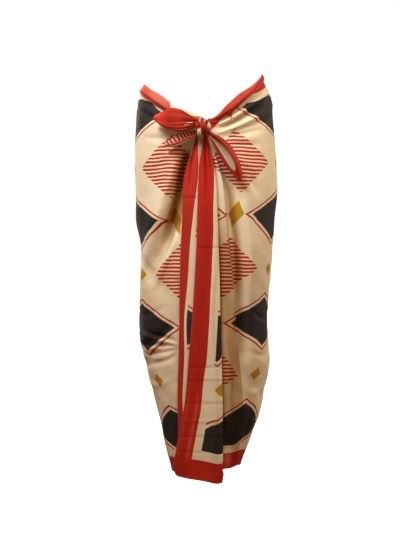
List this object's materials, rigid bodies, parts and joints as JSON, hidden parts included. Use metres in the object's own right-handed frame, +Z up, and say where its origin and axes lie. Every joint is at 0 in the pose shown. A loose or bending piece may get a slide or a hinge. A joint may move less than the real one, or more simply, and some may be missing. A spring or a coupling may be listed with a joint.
{
  "type": "sarong",
  "caption": "Ankle-length sarong: one bordered rectangle of light printed cotton, wrapped round the hips and tied in a double knot at the front.",
  "frame": {"origin": "at the waist, level with the knot, on the upright line round which the cloth is wound: where the hips hold it up", "axes": "+Z up, -Y to the front, where the knot and the pleats are, +X to the viewer's right"},
  "size_m": [0.3706, 0.3067, 1.0464],
  "materials": {
    "printed_cloth": "matt printed cotton voile"
  },
  "bodies": {
    "root": {"back_wrap": "printed_cloth", "left_front": "printed_cloth", "right_front": "printed_cloth", "left_cascade": "printed_cloth", "front_pleats": "printed_cloth", "knot": "printed_cloth", "tail_upper_left": "printed_cloth", "tail_lower_left": "printed_cloth", "tail_lower_right": "printed_cloth"}
  },
  "joints": []
}
